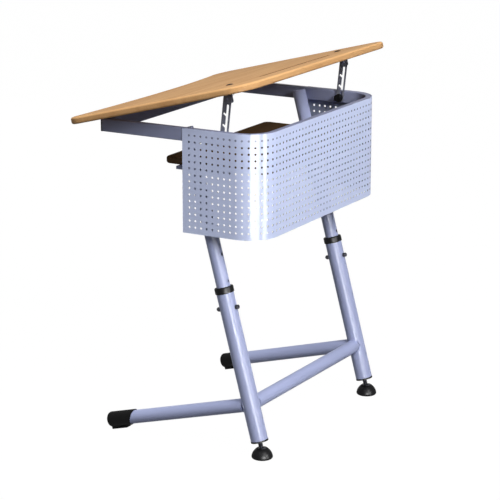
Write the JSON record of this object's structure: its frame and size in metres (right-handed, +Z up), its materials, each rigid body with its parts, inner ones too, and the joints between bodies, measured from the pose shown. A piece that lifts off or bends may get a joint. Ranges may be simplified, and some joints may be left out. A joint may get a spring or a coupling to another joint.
{
  "type": "tilting school desk",
  "caption": "Tilting school desk: a wooden board hinged at the front and held by notched struts, on a tube frame with a perforated panel, book shelf and telescopic legs.",
  "frame": {"origin": "on the floor, under the middle of the whole desk's outline", "axes": "+X to the user's right, +Y from the user's side to the rear, where the board is highest, +Z up"},
  "size_m": [0.7, 0.4932, 0.8791],
  "materials": {
    "frame_paint": "satin lilac grey",
    "slate_paint": "satin slate grey",
    "panel_paint": "satin light lavender blue",
    "board_wood": "satin light beech",
    "shelf_wood": "satin dark brown",
    "black_plastic": "glossy black",
    "black_rubber": "satin black",
    "zinc_steel": "zinc plated",
    "dark_steel": "blackened"
  },
  "bodies": {
    "base": {"leg_sleeve_left": "frame_paint", "leg_sleeve_right": "frame_paint", "collar_left": "black_plastic", "collar_right": "black_plastic", "base_tube_left": "frame_paint", "base_tube_right": "frame_paint", "foot_cap_left": "black_rubber", "foot_cap_right": "black_rubber", "sleeve_plug_left": "black_plastic", "sleeve_plug_right": "black_plastic", "cross_bar": "frame_paint", "lock_bolts": "dark_steel", "lock_washers": "dark_steel", "dome_nuts": "dark_steel"},
    "frame": {"rail_frame": "slate_paint", "front_rail": "slate_paint", "panel_back": "panel_paint", "panel_corner_left": "panel_paint", "panel_corner_right": "panel_paint", "panel_side_left": "panel_paint", "panel_side_right": "panel_paint", "rail_cap_left": "black_plastic", "rail_cap_right": "black_plastic", "inner_tube_left": "frame_paint", "inner_tube_right": "frame_paint", "tube_guide_left": "black_plastic", "tube_guide_right": "black_plastic", "shelf_bracket_left": "slate_paint", "shelf_bracket_right": "slate_paint", "hinge_fixed_leaf_left": "slate_paint", "hinge_fixed_leaf_right": "slate_paint", "book_shelf": "shelf_wood", "shelf_screws": "zinc_steel", "hinge_pins": "zinc_steel"},
    "top": {"desk_board": "board_wood", "hinge_screws": "zinc_steel", "pivot_rivets": "slate_paint", "bracket_bolts": "dark_steel", "bracket_nuts": "zinc_steel", "hinge_moving_leaf_left": "slate_paint", "hinge_moving_leaf_right": "slate_paint", "strut_bracket_left": "slate_paint", "strut_bracket_right": "slate_paint"},
    "strut_left": {"strut_left": "slate_paint"},
    "clamp_left": {"clamp_bolt_left": "zinc_steel", "clamp_washer_left": "zinc_steel"},
    "knob_left": {"knob_left": "black_plastic"},
    "stem_left": {"foot_stem_left": "dark_steel"},
    "pad_left": {"foot_pad_left": "black_plastic"},
    "strut_right": {"strut_right": "slate_paint"},
    "clamp_right": {"clamp_bolt_right": "zinc_steel", "clamp_washer_right": "zinc_steel"},
    "knob_right": {"knob_right": "black_plastic"},
    "stem_right": {"foot_stem_right": "dark_steel"},
    "pad_right": {"foot_pad_right": "black_plastic"}
  },
  "joints": [
    {"name": "height_adjust", "type": "slide", "parent": "base", "child": "frame", "axis": [0, -0.2588, 0.9659], "range_m": [-0.124, 0]},
    {"name": "board_tilt", "type": "hinge", "parent": "frame", "child": "top", "pos_m": [0, -0.18258, 0.752], "axis": [1, 0, 0], "range_deg": [-14.6, 0]},
    {"name": "strut_swing_left", "type": "hinge", "parent": "top", "child": "strut_left", "pos_m": [-0.277, 0.14074, 0.82785], "axis": [1, 0, 0], "range_deg": [-65.9, 0]},
    {"name": "clamp_slide_left", "type": "slide", "parent": "strut_left", "child": "clamp_left", "axis": [0, 0.1079, 0.9942], "range_m": [0, 0.0727]},
    {"name": "knob_turn_left", "type": "hinge", "parent": "clamp_left", "child": "knob_left", "pos_m": [-0.2655, 0.13422, 0.74], "axis": [1, 0, 0], "range_deg": [0, 360]},
    {"name": "foot_level_left", "type": "slide", "parent": "base", "child": "stem_left", "axis": [0, -0.2588, 0.9659], "range_m": [-0.01, 0.004]},
    {"name": "pad_swivel_left", "type": "hinge", "parent": "stem_left", "child": "pad_left", "pos_m": [-0.263, 0.2219, 0.015], "axis": [1, 0, 0], "range_deg": [-6, 6]},
    {"name": "strut_swing_right", "type": "hinge", "parent": "top", "child": "strut_right", "pos_m": [0.277, 0.14074, 0.82785], "axis": [1, 0, 0], "range_deg": [-65.9, 0]},
    {"name": "clamp_slide_right", "type": "slide", "parent": "strut_right", "child": "clamp_right", "axis": [0, 0.1079, 0.9942], "range_m": [0, 0.0727]},
    {"name": "knob_turn_right", "type": "hinge", "parent": "clamp_right", "child": "knob_right", "pos_m": [0.2655, 0.13422, 0.74], "axis": [-1, 0, 0], "range_deg": [0, 360]},
    {"name": "foot_level_right", "type": "slide", "parent": "base", "child": "stem_right", "axis": [0, -0.2588, 0.9659], "range_m": [-0.01, 0.004]},
    {"name": "pad_swivel_right", "type": "hinge", "parent": "stem_right", "child": "pad_right", "pos_m": [0.263, 0.2219, 0.015], "axis": [1, 0, 0], "range_deg": [-6, 6]}
  ],
  "couplings": [
    {"joint": "strut_swing_left", "follows": "board_tilt", "ratio": 4.5092},
    {"joint": "clamp_slide_left", "follows": "board_tilt", "m_per_rad": -0.28505},
    {"joint": "strut_swing_right", "follows": "board_tilt", "ratio": 4.5092},
    {"joint": "clamp_slide_right", "follows": "board_tilt", "m_per_rad": -0.28505}
  ]
}
